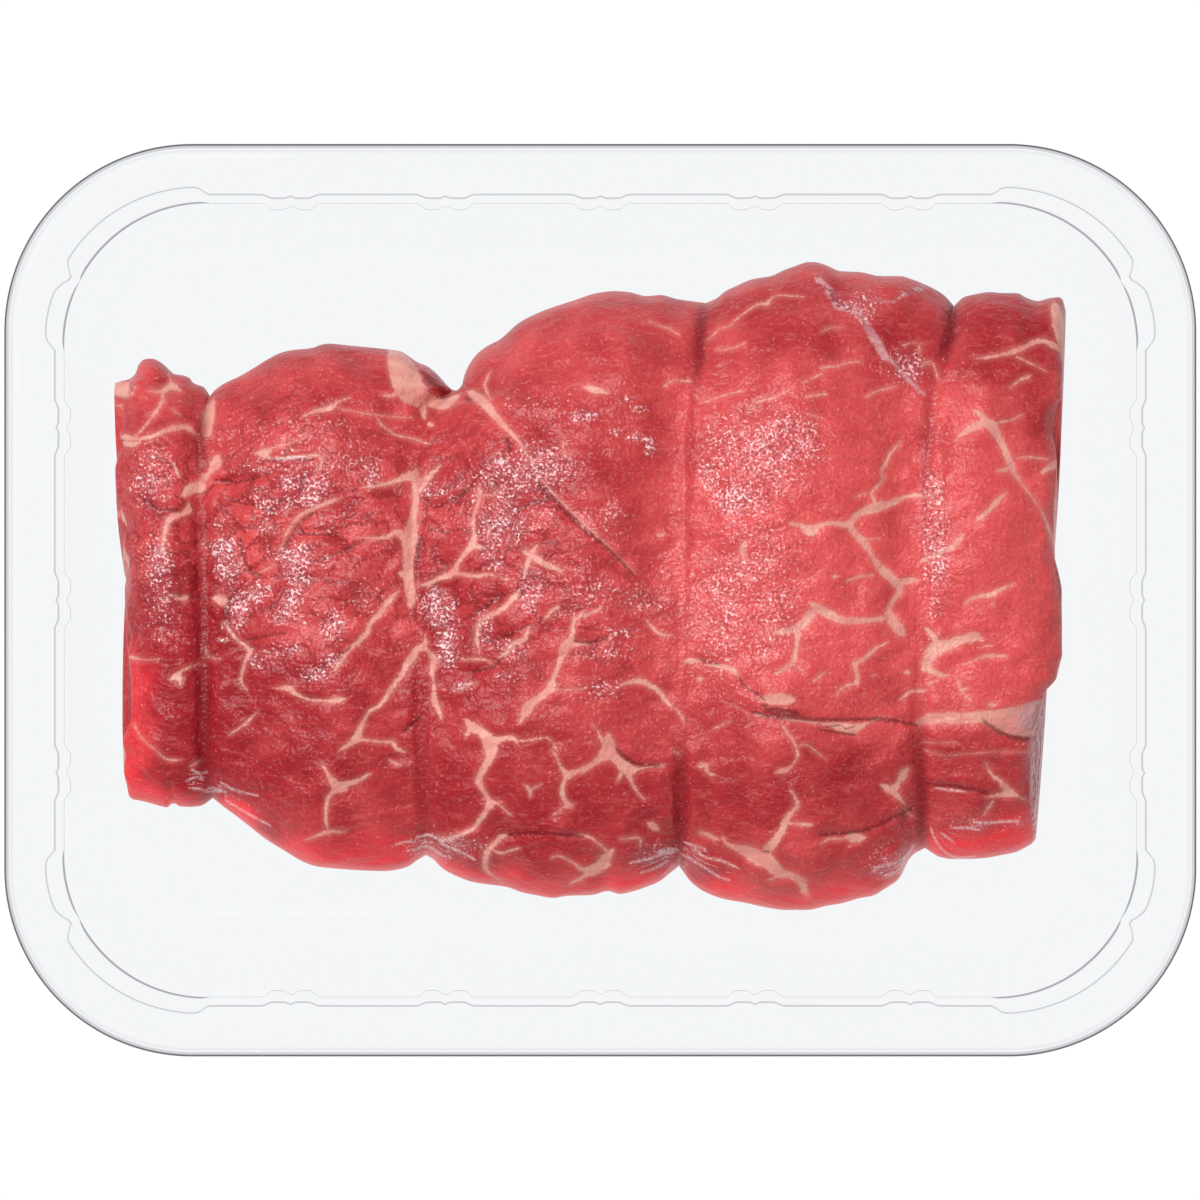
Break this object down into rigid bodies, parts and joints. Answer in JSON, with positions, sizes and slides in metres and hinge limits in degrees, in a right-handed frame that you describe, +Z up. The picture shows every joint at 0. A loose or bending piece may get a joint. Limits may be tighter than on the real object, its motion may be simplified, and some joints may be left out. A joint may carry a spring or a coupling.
{
  "type": "meat tray pack",
  "caption": "Clear thin-walled tray with rolled rim, ribbed walls and stacking lugs, holding a rolled beef joint with string grooves.",
  "frame": {"origin": "middle of the tray's base, on the surface it stands on", "axes": "+X along the tray, +Y across it towards the side the joint lies nearer to, +Z up out of the opening"},
  "size_m": [0.2286, 0.175, 0.055],
  "materials": {
    "clear_sheet": "clear thermoformed sheet, glossy",
    "raw_beef": "moist raw lean beef with pale fat marbling"
  },
  "bodies": {
    "root": {"tray": "clear_sheet", "beef_joint": "raw_beef"}
  },
  "joints": []
}
